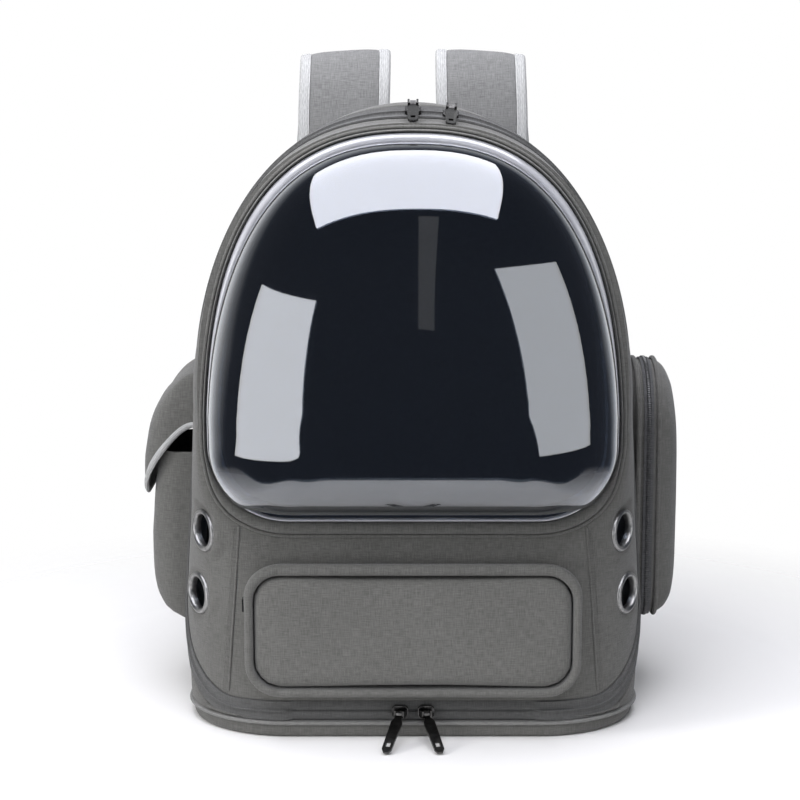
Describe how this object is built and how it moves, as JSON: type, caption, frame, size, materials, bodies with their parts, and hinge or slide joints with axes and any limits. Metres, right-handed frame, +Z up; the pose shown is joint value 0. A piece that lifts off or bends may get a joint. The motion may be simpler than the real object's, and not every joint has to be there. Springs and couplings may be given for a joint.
{
  "type": "pet carrier backpack",
  "caption": "Grey fabric pet carrier backpack with a smoked clear dome in its front, a full front zip, front and side pockets, air eyelets and padded shoulder straps",
  "frame": {"origin": "middle of the underside of the flat base", "axes": "+Z up, the dome faces -Y, +X to the right as seen from the front"},
  "size_m": [0.3978, 0.3577, 0.4679],
  "materials": {
    "fabric_body": "heathered woven polyester",
    "fabric_strap": "heathered woven polyester over foam",
    "fabric_back": "air mesh over foam",
    "fabric_trim": "woven piping",
    "light_binding": "woven grosgrain",
    "zip_tape": "woven nylon tape",
    "smoke_dome": "smoked clear polycarbonate",
    "eyelet_steel": "polished",
    "gunmetal": "dark plated zinc",
    "buckle_plastic": "moulded acetal"
  },
  "bodies": {
    "pack": {"front_shell": "fabric_body", "rear_shell": "fabric_body", "zipper_tape": "zip_tape", "arch_piping": "fabric_trim", "base_piping": "light_binding", "dome": "smoke_dome", "dome_border": "fabric_trim", "dome_piping": "fabric_trim", "front_pocket": "fabric_body", "front_pocket_welt": "fabric_trim", "front_pocket_slider": "gunmetal", "eyelet_left_upper": "eyelet_steel", "eyelet_left_lower": "eyelet_steel", "eyelet_right_upper": "eyelet_steel", "eyelet_right_lower": "eyelet_steel", "left_pocket": "fabric_body", "left_flap": "fabric_body", "left_flap_binding": "light_binding", "right_pocket": "fabric_body", "right_pocket_piping": "fabric_trim", "right_pocket_seam": "fabric_trim", "right_pocket_zip": "zip_tape", "right_pocket_slider": "gunmetal", "back_panel": "fabric_back", "strap_left": "fabric_strap", "strap_left_inner_binding": "light_binding", "strap_left_outer_binding": "light_binding", "adjuster_left": "buckle_plastic", "webbing_left": "zip_tape", "anchor_left": "fabric_body", "strap_right": "fabric_strap", "strap_right_inner_binding": "light_binding", "strap_right_outer_binding": "light_binding", "adjuster_right": "buckle_plastic", "webbing_right": "zip_tape", "anchor_right": "fabric_body", "bottom_left_slider": "gunmetal", "bottom_right_slider": "gunmetal", "top_left_slider": "gunmetal", "top_right_slider": "gunmetal"},
    "bottom_left_pull": {"bottom_left_pull": "gunmetal"},
    "bottom_right_pull": {"bottom_right_pull": "gunmetal"},
    "top_left_pull": {"top_left_pull": "gunmetal"},
    "top_right_pull": {"top_right_pull": "gunmetal"}
  },
  "joints": [
    {"name": "bottom_left_pull_hinge", "type": "hinge", "parent": "pack", "child": "bottom_left_pull", "pos_m": [-0.009, -0.11912, 0.01894], "axis": [-0.9511, 0.309, 0], "range_deg": [-60, 75]},
    {"name": "bottom_right_pull_hinge", "type": "hinge", "parent": "pack", "child": "bottom_right_pull", "pos_m": [0.009, -0.11912, 0.01894], "axis": [-0.9511, -0.309, 0], "range_deg": [-60, 75]},
    {"name": "top_left_pull_hinge", "type": "hinge", "parent": "pack", "child": "top_left_pull", "pos_m": [0, -0.07718, 0.43574], "axis": [-1, 0, 0], "range_deg": [0, 150]},
    {"name": "top_right_pull_hinge", "type": "hinge", "parent": "pack", "child": "top_right_pull", "pos_m": [0.026, -0.07718, 0.4331], "axis": [-0.9949, 0, 0.1007], "range_deg": [0, 150]}
  ]
}
